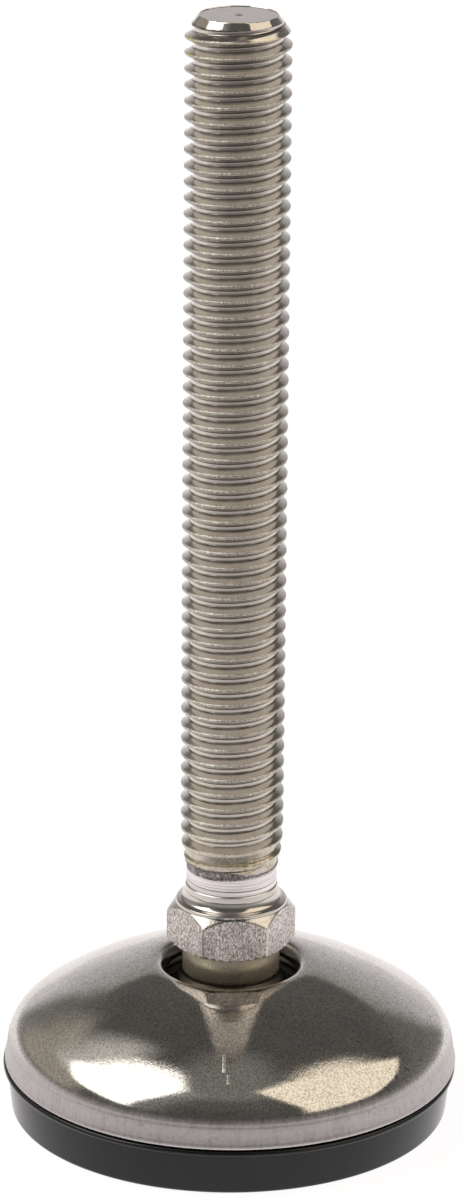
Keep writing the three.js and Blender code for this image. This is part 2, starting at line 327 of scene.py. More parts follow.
class Material(Graph):
    """A principled material whose textures are laid out in object millimetres."""

    def __init__(self, name):
        self.material = bpy.data.materials.new(name)
        super().__init__(self.material, "ShaderNodeOutputMaterial")
        inputs = {0: self.coordinate("Object"), 3: 1 / MM}
        self.mm = self.value("ShaderNodeVectorMath", inputs, operation="SCALE")

    def position(self):
        """x, y, z and the distance r from the axis."""
        x, y, z = self.split(self.mm)
        return x, y, z, self.math("POWER", x * x + y * y, 0.5)

    def normal_z(self):
        return self.split(self.coordinate("Normal"))[2]

    def noise(self, scale, detail=3.0, rough=0.55, stretch=None):
        """Noise, about 0.3 to 0.7; stretch is the mapping scale along x, y and z."""
        vector = self.mm
        if stretch:
            vector = self.value("ShaderNodeMapping", {0: vector, "Scale": stretch})
        inputs = {"Vector": vector, "Scale": scale, "Detail": detail, "Roughness": rough}
        return self.value("ShaderNodeTexNoise", inputs)

    def bumps(self, *layers):
        """Stacked bumps from (height, strength, distance in mm) layers."""
        normal = None
        for height, strength, distance in layers:
            inputs = {"Height": height, "Strength": strength, "Distance": distance * MM}
            if normal:
                inputs["Normal"] = normal
            normal = self.value("ShaderNodeBump", inputs)
        return normal

    def principled(self, colour, rough, metallic, normal, **more):
        inputs = {"Base Color": colour, "Roughness": rough, "Metallic": metallic,
                  "Normal": normal, **more}
        self.finish(self.value("ShaderNodeBsdfPrincipled", inputs))
        return self.material


# ------------------------------------------------------------------ materials
def weld_grains(m, colour, area, least):
    """Lays dark and pale grains over an area; least is their weakest cover.

    Returns the grain mask, the new colour and the grains' bump layer.
    """
    mask = area * m.noise(2.6, detail=4, rough=0.7).remap(0.36, 0.56, to=(least, 1))
    soot, ash = (0.09, 0.08, 0.08), (0.42, 0.38, 0.39)
    grains = m.noise(4.2, detail=4, rough=0.75).rise(0.40, 0.58).mix(soot, ash)
    bump = (m.noise(4.5, detail=4, rough=0.75), mask * 0.9, 0.2)
    return mask, mask.mix(colour, grains), bump


def rolled_steel():
    """The thread: worn bright crests, painted shade at the roots and under the crests, heat
    colours above the weld.
    """
    m = Material("rolled_steel")
    x, y, z, r = m.position()
    fine = m.noise(7.0, detail=4, rough=0.6)
    streak = m.noise(1.0, detail=4, rough=0.6, stretch=(0.5, 0.5, 14.0))
    ragged = m.noise(3.0, detail=4, rough=0.75, stretch=(1, 1, 0.5))
    crest = r.rise(4.70, 4.85)
    root = r.fall(4.12, 4.25)

    dull, pale, worn = (0.575, 0.535, 0.48), (0.62, 0.58, 0.525), (0.86, 0.82, 0.74)
    colour = m.noise(0.9, rough=0.5).rise(0.35, 0.65).mix(dull, pale)
    colour = (crest * m.noise(3.2, rough=0.7).rise(0.50, 0.66)).mix(colour, worn)

    # straw tint on the topmost turns, mostly on the -X side
    patches = m.noise(0.35, detail=2, rough=0.5).rise(0.42, 0.58)
    straw = z.rise(102.0, 103.6) * (r.rise(4.55, 4.8) * patches)
    straw = straw * 0.75 * x.remap(-4.3, -2.6, to=(1, 0.12))
    colour = straw.mix(colour, (0.80, 0.66, 0.24))

    # painted shade beside the bright line of each root
    groove = r.band(4.12, 4.23, soft=0.025) * z.rise(27.5, 29.5)
    root_shade = groove * m.noise(0.8, rough=0.6).remap(0.3, 0.7, to=(0.45, 0.85))
    colour = root_shade.mix(colour, (0.15, 0.14, 0.125))
    # painted shade on the undersides of the crests, where they face down
    under = m.normal_z().rise(-0.10, -0.35) * r.rise(4.70, 4.78)
    under = under * m.noise(0.8, rough=0.6).remap(0.3, 0.7, to=(0.6, 0.9))
    colour = under.mix(colour, (0.17, 0.155, 0.14))

    # heat colours above the weld
    heat = z.window(opens=(24.95, 25.3), closes=(25.9, 28.6))
    heat = heat * m.noise(0.55, rough=0.6).remap(0.30, 0.62, to=(0.25, 1.0))
    brown, tan = (0.30, 0.25, 0.155), (0.58, 0.51, 0.36)
    scorch = m.noise(2.4, rough=0.6).rise(0.4, 0.6).mix(brown, tan)
    colour = (heat * 0.75).mix(colour, scorch)

    # the weld's grains reach higher on the -X side
    weld_area = (z - x.fall(-1.5, 2.6) * 0.55).fall(24.85, 25.15)
    weld, colour, weld_bump = weld_grains(m, colour, weld_area, least=0.35)

    flank_rough = fine.remap(0.3, 0.7, to=(0.11, 0.17))
    crest_rough = fine.remap(0.35, 0.65, to=(0.12, 0.34))
    rough = crest.lerp(flank_rough, crest_rough)
    rough = root.lerp(rough, 0.06)
    rough = weld.lerp(rough, 0.5)
    normal = m.bumps(
        (fine * 0.4 + streak * 0.6, root.lerp(0.14, 0.05), 0.03),
        (ragged, crest * 0.85, 0.12),
        weld_bump,
        (m.noise(2.2, detail=4, rough=0.7), heat * 0.35, 0.12),
    )
    return m.principled(colour, rough, 1.0, normal)


def turned_hex_steel():
    """Rough hexagon flats, bright chamfers and neck, bronze-toned barrel and ball."""
    m = Material("turned_hex_steel")
    x, y, z, r = m.position()

    # areas
    upright = abs(m.normal_z()).fall(0.15, 0.3)
    flats = z.band(16.85, 20.95, soft=0.03) * r.rise(5.29, 5.33) * upright
    chamfer = z.band(16.6, 21.0, soft=0.03) * r.rise(5.25, 5.35) * (1.0 - upright)
    corner = r.rise(6.07, 6.13)
    neck = z.window(opens=(22.78, 22.9), closes=(24.4, 24.6))
    low = z.fall(16.6, 16.8)  # everything under the hexagon

    # textures
    mottle = m.noise(4.6, rough=0.6, stretch=(1.3, 1.3, 0.8))
    grit = m.noise(6.0, detail=2, rough=0.6, stretch=(1.2, 1.2, 0.6))
    streak = m.noise(1.6, detail=4, rough=0.6, stretch=(2.6, 2.6, 0.3))
    rings = m.noise(1.0, detail=4, rough=0.7, stretch=(0.05, 0.05, 7.0))

    colour = rings.rise(0.3, 0.7).mix((0.58, 0.55, 0.505), (0.66, 0.63, 0.59))

    # bright turned neck with two dark tool rings and a fainter one
    neck_dull, neck_bright = (0.62, 0.575, 0.57), (0.90, 0.85, 0.835)
    colour = neck.mix(colour, rings.rise(0.28, 0.62).mix(neck_dull, neck_bright))
    tool = z.band(23.38, 23.46, soft=0.02) + z.band(22.84, 22.91, soft=0.02)
    tool = tool + z.band(23.70, 23.73, soft=0.02) * 0.5
    tool = tool * m.noise(0.5, rough=0.6).rise(0.32, 0.55)
    colour = (tool * 0.75).mix(colour, (0.22, 0.20, 0.20))

    # flats: mottled and gritty, with one scratch on the -Y side
    flat = mottle.rise(0.42, 0.58).mix((0.50, 0.445, 0.415), (0.96, 0.885, 0.85))
    flat = (grit.fall(0.36, 0.46) * 0.75).mix(flat, (0.16, 0.13, 0.115))
    scratch = z.band(17.50, 17.55, soft=0.03) * x.band(-1.1, 2.3, soft=0.3)
    scratch = scratch * y.rise(-4.9, -5.1)
    flat = (scratch * 0.7).mix(flat, (0.10, 0.08, 0.07))
    cloud = m.noise(0.5, rough=0.5).rise(0.4, 0.65)
    flat = (cloud * 0.25).mix(flat, (0.34, 0.31, 0.30))
    # painted shade on the corners of the -X side and painted highlight on the corners of the +X
    # side
    flat = (corner * x.remap(-0.5, 0.5, to=(0.65, 0.0))).mix(flat, (0.26, 0.22, 0.20))
    flat = (corner * x.remap(-0.5, 0.5, to=(0.0, 0.7))).mix(flat, (1.0, 0.95, 0.88))
    colour = flats.mix(colour, flat)

    # barrel: bronze and pitted, with painted shade, near black, where it enters the dome
    light_bronze, deep_bronze = (0.66, 0.60, 0.47), (0.55, 0.495, 0.385)
    bronze = m.noise(0.5, rough=0.6).rise(0.35, 0.65).mix(light_bronze, deep_bronze)
    # painted shade on the barrel and ball inside the dome's hole
    bronze = z.fall(13.75, 14.0).mix(bronze, (0.075, 0.065, 0.055))
    colour = low.mix(colour, bronze)
    pits = m.noise(1.8, rough=0.7).rise(0.66, 0.70)
    colour = (pits * low * 0.6).mix(colour, (0.12, 0.10, 0.08))

    # the weld's grains reach lower on the -X side
    weld_area = (z + x.fall(-1.5, 2.6) * 0.25).rise(24.6, 24.8)
    weld, colour, weld_bump = weld_grains(m, colour, weld_area, least=0.3)

    # broken dark line round the top edge of the hexagon, near x = 0
    line = z.band(20.86, 21.14, soft=0.05) * r.band(5.2, 5.40, soft=0.02)
    breaks = m.noise(2.2, rough=0.7).rise(0.36, 0.55) * x.band(-1.5, 1.5, soft=0.4)
    colour = (line * breaks * 0.8).mix(colour, (0.10, 0.10, 0.10))

    # the reflection stays sharp round the axis and blurs along it, as turning leaves it
    tangent = m.value("ShaderNodeTangent", {}, direction_type="RADIAL", axis="Z")
    turned = m.math("MAXIMUM", low, z.band(22.8, 24.6, soft=0.1)) * 0.85

    rough = rings.remap(0.3, 0.7, to=(0.12, 0.18))
    rough = neck.lerp(rough, rings.remap(0.3, 0.7, to=(0.32, 0.24)))
    rough = low.lerp(rough, m.noise(1.0).remap(0.3, 0.7, to=(0.26, 0.33)))
    rough = flats.lerp(rough, mottle.remap(0.3, 0.7, to=(0.48, 0.34)))
    rough = chamfer.lerp(rough, 0.13)
    rough = weld.lerp(rough, 0.5)
    normal = m.bumps(
        (mottle * 0.7 + streak * 0.6, flats * 0.9, 0.12),
        (grit, flats * 0.8, 0.08),
        (m.noise(3.2, detail=4, rough=0.7), chamfer * 0.45, 0.08),
        (rings, neck * 0.5, 0.06),
        (rings, z.band(21.2, 22.95, soft=0.1) * 0.12, 0.04),
        weld_bump,
    )
    metallic = (low * z.rise(13.9, 14.3)).lerp(1.0, 0.65)
    return m.principled(colour, rough, metallic, normal, Anisotropic=turned, Tangent=tangent)


def pressed_satin_steel():
    """The dome: satin speckle above, vertical draw marks on the rim band."""
    m = Material("pressed_satin_steel")
    x, y, z, r = m.position()
    rim = z.fall(6.9, 8.3) * r.rise(20.5, 21.0)
    grain = m.noise(4.2, rough=0.7)
    speckle = m.noise(5.5, detail=2, rough=0.6)
    sparkle = m.noise(7.5, detail=2, rough=0.6)
    cloud = m.noise(0.8, detail=4, rough=0.65)
    draw = m.noise(1.0, detail=4, rough=0.65, stretch=(2.6, 2.6, 0.20))
    wide_draw = m.noise(1.0, rough=0.6, stretch=(0.7, 0.7, 0.10))

    blotch = m.noise(0.16, detail=4, rough=0.6).rise(0.35, 0.65)
    colour = blotch.mix((0.555, 0.53, 0.485), (0.61, 0.585, 0.54))
    colour = (cloud.rise(0.35, 0.65) * 0.25).mix(colour, (0.47, 0.45, 0.42))
    colour = (speckle.rise(0.46, 0.58) * 0.5).mix(colour, (0.86, 0.83, 0.78))
    colour = (speckle.fall(0.40, 0.50) * 0.4).mix(colour, (0.28, 0.26, 0.24))

    # dark specks, more of them on the +X side
    specks = m.noise(1.9, rough=0.65).rise(0.63, 0.67) * x.remap(8.0, 16.0, to=(0.25, 1.0))
    colour = (specks * 0.7).mix(colour, (0.15, 0.13, 0.11))
    # a reddish smear low on the -Y side
    smear = z.band(7.95, 8.5, soft=0.15) * y.rise(-15.0, -18.0)
    smear = x.band(-3.4, 0.9, soft=0.8) * smear * m.noise(1.1, rough=0.6).rise(0.4, 0.6)
    colour = (smear * 0.6).mix(colour, (0.36, 0.19, 0.13))

    band = draw.rise(0.3, 0.7).mix((0.385, 0.355, 0.345), (0.50, 0.465, 0.455))
    band = (wide_draw.fall(0.3, 0.5) * 0.3).mix(band, (0.26, 0.235, 0.23))
    pale = m.noise(3.0, rough=0.7).rise(0.40, 0.60)
    band = (pale * 0.35).mix(band, (0.55, 0.52, 0.51))
    dark = m.noise(1.6, detail=4, rough=0.7).rise(0.60, 0.68)
    band = (dark * 0.45).mix(band, (0.20, 0.18, 0.17))
    colour = rim.mix(colour, band)
    bottom_edge = z.band(4.7, 4.93, soft=0.05)
    colour = (bottom_edge * 0.8).mix(colour, (0.80, 0.76, 0.75))

    # painted shade on the wall and underside of the hole
    wall = r.fall(6.55, 6.85) * z.fall(14.4, 14.6)
    inner = m.math("MAXIMUM", wall, z.fall(13.3, 13.5)) * r.fall(8.0, 8.2)
    colour = (inner * 0.85).mix(colour, (0.06, 0.052, 0.045))

    rough = grain.remap(0.3, 0.7, to=(0.04, 0.085))
    rough = rim.lerp(rough, draw.remap(0.3, 0.7, to=(0.26, 0.40)))
    rough = r.fall(7.4, 8.4).lerp(rough, 0.16)  # round the hole
    # two short radial dashes on the -Y side
    dashes = (
        x.band(-0.66, -0.46, soft=0.05) * y.band(-17.3, -15.7, soft=0.3)
        + x.band(-0.24, -0.08, soft=0.04) * y.band(-18.5, -17.8, soft=0.2)
    )
    normal = m.bumps(
        (grain * 0.5 + sparkle * 0.5, rim.lerp(0.10, 0.25), 0.04),
        (cloud, 0.10, 0.05),
        (draw, rim * 0.35, 0.06),
        (dashes, 1.0, 0.06),
    )
    return m.principled(colour, rough, 1.0, normal)


def moulded_rubber():
    m = Material("moulded_rubber")
    cloud = m.noise(0.25, rough=0.5).rise(0.3, 0.7)
    fine = m.noise(6.0, detail=4, rough=0.6)
    dust = m.noise(2.4, detail=2, rough=0.5).rise(0.72, 0.75)
    colour = cloud.mix((0.0045, 0.0045, 0.005), (0.007, 0.007, 0.008))
    colour = (dust * 0.35).mix(colour, (0.10, 0.09, 0.085))
    rough = fine.remap(0.3, 0.7, to=(0.13, 0.21))
    return m.principled(colour, rough, 0.0, m.bumps((fine, 0.08, 0.02)), IOR=1.43)


def acetal():
    m = Material("acetal")
    fine = m.noise(5.0)
    colour = m.noise(0.5).rise(0.3, 0.7).mix((0.018, 0.018, 0.019), (0.028, 0.028, 0.03))
    rough = fine.remap(0.3, 0.7, to=(0.38, 0.5))
    return m.principled(colour, rough, 0.0, m.bumps((fine, 0.15, 0.03)))


def zinc_plated_steel():
    m = Material("zinc_plated_steel")
    spangle = m.noise(1.1, detail=4, rough=0.6)
    colour = spangle.rise(0.3, 0.7).mix((0.50, 0.51, 0.53), (0.60, 0.60, 0.60))
    rough = spangle.remap(0.3, 0.7, to=(0.3, 0.45))
    return m.principled(colour, rough, 1.0, m.bumps((m.noise(4), 0.2, 0.04)))


def spring_steel():
    m = Material("spring_steel")
    draw = m.noise(1.0, rough=0.6, stretch=(0.3, 0.3, 5.0))
    colour = draw.rise(0.3, 0.7).mix((0.24, 0.24, 0.26), (0.33, 0.32, 0.32))
    rough = draw.remap(0.3, 0.7, to=(0.22, 0.36))
    return m.principled(colour, rough, 1.0, m.bumps((draw, 0.3, 0.03)))


# ------------------------------------------------------------------ threaded rod
ROD_COLUMNS = 104
# distances from a crest at which one side of the thread is sampled; the root follows
CREST_OFFSETS = [0.05, 0.085, 0.11, 0.14, 0.18, 0.25, 0.34,
                 0.44, 0.52, 0.56, 0.59, 0.62, 0.66, 0.705]
# (z, r): largest radius; the crests die away above the weld, the free end is chamfered
BLANK = [
    (WELD_Z, 4.37), (25.2, 4.47), (25.8, 4.58), (26.6, 4.74), (27.3, 4.80), (28.7, 4.86),
    (30.5, 4.91), (ROD_TOP - 1.60, 4.91), (ROD_TOP - 1.54, 4.82), (ROD_TOP - 0.05, 3.66),
    (ROD_TOP, 3.6),
]
# (z, r): smallest radius; the thread's roots fill in towards the weld
CORE = [(WELD_Z, WELD_R), (25.9, 4.35), (27.6, 4.05), (29.0, 3.5)]
END_R = BLANK[-1][1]
END_RECESS = 0.05  # depth of the end face inside its raised edge
# (r, lift) rings of the end face: edge, fine turning rings, then the centre pip
END_RINGS = [
    (3.55, 0.0),
    *[(3.5 - 0.125 * q, (-0.006 if q % 2 else 0.0) - 0.004 * (q % 5 == 0)) for q in range(25)],
    (0.33, 0.0), (0.26, 0.05), (0.14, 0.03),
]


def table_radius(table, z):
    heights, radii = zip(*table)
    return np.interp(z, heights, radii)


def thread_section(samples=512):
    """Offsets along one pitch and the radius there: flat crest, straight flanks, soft root."""
    crest_half, root_half = 0.17 / 2, 0.34 / 2
    crest_r, root_r = MAJOR_R + 0.015, MINOR_R - 0.03  # allows for the smoothing
    offset = (np.arange(samples) / samples - 0.5) * PITCH
    flank = PITCH / 2 - crest_half - root_half
    down = np.clip((np.abs(offset) - crest_half) / flank, 0, 1)
    radius = crest_r + (root_r - crest_r) * down
    # gaussian smoothing, 0.035 mm wide, wrapped round the pitch
    reach = 40
    sigma = 0.035 / PITCH * samples
    weights = np.exp(-0.5 * (np.arange(-reach, reach + 1) / sigma) ** 2)
    weights /= weights.sum()
    wrapped = np.r_[radius[-reach:], radius, radius[:reach]]
    return offset, np.convolve(wrapped, weights, mode="same")[reach:-reach]


def threaded_rod():
    """Columns of points that follow the helix, clipped to the rod's two ends."""
    row_offsets = [-d for d in CREST_OFFSETS[::-1]] + [0.0] + CREST_OFFSETS + [PITCH / 2]
    rows_per_turn = len(row_offsets)
    turns = int(math.ceil((ROD_TOP - WELD_Z) / PITCH)) + 3
    row_count = turns * rows_per_turn
    # height, at angle 0, of the crest that starts the helix below the weld
    start_z = LEFT_CREST_Z - 0.5 * PITCH
    start_z -= PITCH * math.ceil((start_z - (WELD_Z - PITCH)) / PITCH)
    helix = np.repeat(np.arange(turns) * PITCH, rows_per_turn) + np.tile(row_offsets, turns)
    section = thread_section()
    random = np.random.default_rng(7)
    lumps = np.convolve(random.normal(0, 1, 2600), np.ones(2) / 2, mode="same")

    angles = even_angles(ROD_COLUMNS)
    verts, bottom, top = [], {}, {}
    index = np.zeros((ROD_COLUMNS, row_count), dtype=int)
    for i, a in enumerate(angles):
        climb = PITCH * i / ROD_COLUMNS
        z = start_z + helix + climb
        inside = np.clip(z, WELD_Z, ROD_TOP)
        phase = (inside - start_z - climb) / PITCH
        turn = np.floor(phase + 0.5)
        blank = table_radius(BLANK, inside)
        r = np.interp((phase - turn) * PITCH, *section, period=PITCH)
        r = np.maximum(np.minimum(r, blank), table_radius(CORE, inside))
        # uneven crests where the thread is full
        crest = np.clip((r - 4.6) / 0.25, 0, 1)
        lump = lumps[(i + turn * ROD_COLUMNS).astype(int) % len(lumps)]
        r = r + crest * 0.009 * lump * (blank > 4.87)
        for k in range(row_count):
            if z[k] <= WELD_Z:
                if i not in bottom:
                    bottom[i] = len(verts)
                    verts.append(polar(WELD_R, a, WELD_Z))
                index[i, k] = bottom[i]
            elif z[k] >= ROD_TOP:
                if i not in top:
                    top[i] = len(verts)
                    verts.append(polar(END_R, a, ROD_TOP))
                index[i, k] = top[i]
            else:
                index[i, k] = len(verts)
                verts.append(polar(r[k], a, z[k]))

    faces = []
    for i in range(ROD_COLUMNS):
        # the last column meets the first one a turn higher
        last = i == ROD_COLUMNS - 1
        neighbour = index[0, rows_per_turn:] if last else index[i + 1]
        for k in range(len(neighbour) - 1):
            add_face(faces, [index[i, k], neighbour[k], neighbour[k + 1], index[i, k + 1]])

    outer = [top[i] for i in range(ROD_COLUMNS)]
    for r, lift in END_RINGS:
        z = ROD_TOP - END_RECESS + lift if r < 3.52 else ROD_TOP
        ring = list(range(len(verts), len(verts) + ROD_COLUMNS))
        for a in angles:
            wobble = 1 + (0.12 * math.sin(3 * a) if r < 0.4 else 0)
            verts.append(polar(r * wobble, a, z))
        for i in range(ROD_COLUMNS):
            k = (i + 1) % ROD_COLUMNS
            faces.append([outer[i], outer[k], ring[k], ring[i]])
        outer = ring
    top_centre = len(verts)
    verts += [(0, 0, ROD_TOP - 0.04), (0, 0, WELD_Z)]
    for i in range(ROD_COLUMNS):
        faces.append([outer[i], outer[(i + 1) % ROD_COLUMNS], top_centre])
    for i in range(ROD_COLUMNS):
        faces.append([bottom[(i + 1) % ROD_COLUMNS], bottom[i], top_centre + 1])
    return mesh_object("stud_thread", verts, faces, sharp=40.0)


# ------------------------------------------------------------------ hexagon, neck and ball
HEX_BLANK_R = 6.9  # outside the hexagon's corners, so the flats cut it
# (r, z): lower chamfer
LOWER_CHAMFER = [(5.28, 16.752), (5.35, 16.765), (5.45, 16.81), (5.6, 16.89), (5.9, 17.06),
                 (6.2, 17.24), (6.5, 17.41), (HEX_BLANK_R, 17.64)]
HEX_SIDE_Z = [*np.arange(17.9, 18.7, 0.12), 18.85, 19.22]
UPPER_CHAMFER_R = (6.6, 6.4, 6.25, 6.17, 6.08, 5.98, 5.88, 5.78,
                   5.68, 5.59, 5.51, 5.44, 5.38, 5.33, 5.29)
# (r, z): top edge, then the hollow that runs down to the neck
SHOULDER = [
    (5.268, 21.0), (5.266, 21.08), (5.266, 21.16), (5.255, 21.205), (5.225, 21.245),
    (5.18, 21.27), (5.05, 21.325), (4.92, 21.38), (4.82, 21.425), (4.74, 21.475),
    (4.68, 21.53), (4.62, 21.60), (4.565, 21.69), (4.52, 21.79), (4.485, 21.9),
    (4.455, 22.03), (4.43, 22.17), (4.415, 22.245), (4.395, 22.27), (4.392, 22.32),
    (4.39, 22.5), (4.385, 22.7), (4.375, 22.78), (4.33, 22.83), (4.265, 22.87), (4.28, 22.92),
]
# degrees from a corner to the columns of one side, dense at both corners
SIDE_COLUMNS = [0, 0.25, 0.55, 0.9, 1.4, 2.0, *np.arange(3, 58, 1.25),
                58, 58.6, 59.1, 59.45, 59.75]


def soft_min(a, b, blend):
    h = min(max(0.5 + 0.5 * (b - a) / blend, 0), 1)
    return b * (1 - h) + a * h - blend * h * (1 - h)


def neck_radius(z):
    """Fine turning waves and two narrow grooves."""
    wave = 0.006 * math.sin(z * FULL_TURN / 0.31)
    deep = 0.02 * math.exp(-(((z - 23.42) / 0.03) ** 2))
    shallow = 0.008 * math.exp(-(((z - 23.72) / 0.03) ** 2))
    return NECK_R + wave - deep - shallow


def hex_radius(angle):
    """Distance to the hexagon, with slightly rounded corners."""
    turns = [angle - HEX_TURN - math.radians(60 * side + 30) for side in range(6)]
    reach = sorted(
        HEX_ACROSS_FLATS / 2 / math.cos(turn) for turn in turns if math.cos(turn) > 0.5)
    return soft_min(reach[0], reach[1], 0.05) if len(reach) > 1 else reach[0]


def cut_flats(r, z, angle):
    if 16.7 < z < 20.96 and r > 5.25:
        return soft_min(r, hex_radius(angle), 0.04), z
    return r, z


def hex_end():
    ball_top_z = BALL_Z + math.sqrt(BALL_R**2 - BARREL_R**2)
    flat_angle = ball_angle(BALL_FLAT_Z, BALL_R)
    barrel_angle = math.degrees(math.asin(BARREL_R / BALL_R))
    profile = [(r, BALL_FLAT_Z) for r in (0, 2.2, 3.6, 4.4)] + [(4.64, 3.31)]
    profile += ball_arc(BALL_R, flat_angle - 0.8, barrel_angle + 1.2, 44)
    ball_join = [(BARREL_R + 0.06, ball_top_z - 0.05), (BARREL_R, ball_top_z + 0.08, 0.2)]
    profile += fillet(ball_join + [(BARREL_R, 14.6)], 5)[1:]
    profile += [(BARREL_R, 15.2), (BARREL_R, 15.8)]
    profile += fillet([(BARREL_R, 16.0), (BARREL_R, 16.75, 0.18), (5.2, 16.75)], 6)
    profile += LOWER_CHAMFER
    profile += [(HEX_BLANK_R, z) for z in HEX_SIDE_Z]
    profile += [(r, 20.97 - (r - 5.27) * 1.072) for r in UPPER_CHAMFER_R]
    profile += SHOULDER
    profile += [(neck_radius(z), z) for z in np.arange(22.96, WELD_Z - 0.02, 0.045)]
    profile += [(WELD_R, WELD_Z), (0, WELD_Z)]
    columns = [HEX_TURN + math.radians(60 * side + degrees)
               for side in range(6) for degrees in SIDE_COLUMNS]
    return lathe("hex_and_ball", profile, columns, shape=cut_flats, sharp=28.0)


# ------------------------------------------------------------------ dome
# (r, z): bottom edge of the rim, outwards
DOME_LIP = [
    (21.50, DOME_RIM_Z), (21.60, DOME_RIM_Z + 0.01), (21.66, DOME_RIM_Z + 0.05),
    (21.70, DOME_RIM_Z + 0.13), (21.71, DOME_RIM_Z + 0.22), (21.69, DOME_RIM_Z + 0.33),
]
# (r, z): outer face, from the rim up to the hole
DOME_OUTER = [
    (21.64, 5.25), (21.55, 5.7), (21.46, 6.3), (21.36, 6.95), (21.10, 7.75), (20.72, 8.38),
    (20.13, 9.0), (18.33, 10.27), (16.52, 11.34), (14.72, 12.26), (13.7, 12.71), (12.8, 13.09),
    (11.6, 13.55), (10.4, 13.97), (9.6, 14.215), (9.2, 14.325), (8.7, 14.455), (8.2, 14.57),
    (7.8, 14.645), (7.5, 14.68), (7.25, 14.685), (7.05, 14.655), (6.85, 14.565), (6.65, 14.40),
    (6.48, 14.17), (6.35, 13.92), (6.27, 13.70), (DOME_HOLE_R, 13.5),
]
# (r, z): inner face, from the hole down to the snap ring's groove
DOME_INNER = [(6.5, 13.24), (7.3, 13.33), (8.2, 13.31), (9.3, 13.04), (12.25, 12.08),
              (15.9, 10.35), (19.25, 8.15), (19.9, 7.0), (20.0, 6.3)]
# (r, z): the groove and the inside of the rim
DOME_GROOVE = [(20.0, 5.86), (20.5, 5.82), (20.5, 4.92), (20.1, 4.88),
               (20.1, DOME_RIM_Z + 0.05), (20.15, DOME_RIM_Z)]


def score_band(r, z, angle):
    """A faint tool line round the rim band."""
    if abs(z - 6.95) < 0.2 and r > 21:
        return r - 0.02 * math.exp(-(((z - 6.95) / 0.07) ** 2)), z
    return r, z


def dome():
    profile = DOME_LIP + spline(DOME_OUTER, 150) + [(6.27, 13.42), (6.36, 13.31)]
    profile += spline(DOME_INNER, 40)[1:] + DOME_GROOVE
    return lathe("dome", profile, even_angles(240), closed=True, shape=score_band, sharp=34.0)


# ------------------------------------------------------------------ rubber pad
PAD_GROOVES = (11.95, 16.15)  # inner radii of the two grooves in the underside
# (r from the groove's inner radius, z)
PAD_GROOVE = [(0, 0), (0.07, 0.02), (0.25, 0.43), (0.35, 0.45),
              (0.95, 0.45), (1.05, 0.43), (1.23, 0.02), (1.3, 0)]
# (r, z): rounded lip that bulges under the dome's rim
PAD_LIP = [(21.36, 3.86), (21.52, 3.97), (21.68, 4.1), (21.77, 4.3),
           (21.70, 4.5), (21.52, 4.6), (21.3, 4.63)]
# (r, z, corner radius): top face, in to the axis
PAD_TOP = [(21.0, 4.64), (18.2, 4.64, 0.2), (18.15, 6.2, 0.35), (10.25, 6.2, 0.3),
           (8.25, 1.15), (7.8, 0.8), (0, 0.8)]


def settle_pad(r, z, angle):
    """Leans the wall out and up on the -X side, and swells its foot towards 218 degrees."""
    if r < 18.4 or z < 0.02:
        return r, z
    height = min(max((z - 0.3) / 3.8, 0), 1)
    left = -math.cos(angle)
    swell = 0.28 * max(0.0, math.cos(angle - math.radians(218))) ** 2
    new_r = r + height * 0.09 * left + (1 - height) * swell
    return min(new_r, 21.86), z + height * 0.06 * left


def pad():
    profile = [(0, 0)]
    profile += [(start + r, z) for start in PAD_GROOVES for r, z in PAD_GROOVE]
    profile += fillet([(20.0, 0), (20.83, 0, 0.45), PAD_LIP[0]], 10)
    profile += spline(PAD_LIP, 18)[1:]
    profile += fillet(PAD_TOP, 6)
    return lathe("pad", profile, even_angles(224), shape=settle_pad, sharp=36.0)


# ------------------------------------------------------------------ inside the dome
def crown_backing():
    seat = ball_arc(SOCKET_R, 61, 85, 12)
    # (r, z, corner radius)
    outside = [(11.3, 9.2), (11.4, 9.3, 0.05), (11.4, 12.0, 0.2),
               (9.3, 12.6, 0.3), (7.2, 12.95, 0.12)]
    profile = fillet(outside + seat[:1], 4) + seat[1:]
    return lathe("crown_backing", profile, even_angles(128), closed=True)


def liner(name, upper, lower, gap_at):
    """A split shell round the ball between two angles from its top, all in degrees."""
    section = ball_arc(LINER_IN_R, upper, lower, 12) + ball_arc(LINER_OUT_R, lower, upper, 12)
    gap, half = math.radians(gap_at), math.radians(3.2)
    return sweep(name, section, gap + half, gap + FULL_TURN - half, 120)


def seat_liner():
    return liner("seat_liner", upper=60, lower=84.5, gap_at=90)


def cup_liner():
    return liner("cup_liner", upper=96, lower=133, gap_at=270)


def socket():
    floor_z = 2.0
    cup = ball_arc(SOCKET_R, ball_angle(9.0, SOCKET_R), ball_angle(floor_z, SOCKET_R), 24)
    # (r, z, corner radius)
    outside = [
        (0, 1.1), (7.0, 1.1, 0.2), (7.7, 1.4, 0.3), (9.7, 6.35, 0.4), (19.55, 6.35, 0.15),
        (19.55, 7.1, 0.2), (19.0, 7.7, 0.3), (11.8, 7.7, 0.3), (11.3, 9.0, 0.2),
    ]
    profile = fillet(outside + cup[:1], 5) + cup[1:] + [(0, floor_z)]
    return lathe("socket", profile, even_angles(144))


def wave_washer():
    """A thin washer that waves up and down three times a turn."""
    section = [(18.5, 5.9), (18.56, 5.895), (19.59, 5.895), (19.65, 5.9),
               (19.65, 6.14), (19.59, 6.145), (18.56, 6.145), (18.5, 6.14)]
    return sweep("wave_washer", section, 0, FULL_TURN, 180, lambda a: 0.1 * math.sin(3 * a))


def snap_ring():
    section = [(18.55, 5.06), (18.6, 5.02), (20.27, 5.02), (20.32, 5.06),
               (20.32, 5.66), (20.27, 5.7), (18.6, 5.7), (18.55, 5.66)]
    return sweep("snap_ring", section, math.radians(99), math.radians(99 + 342), 160)


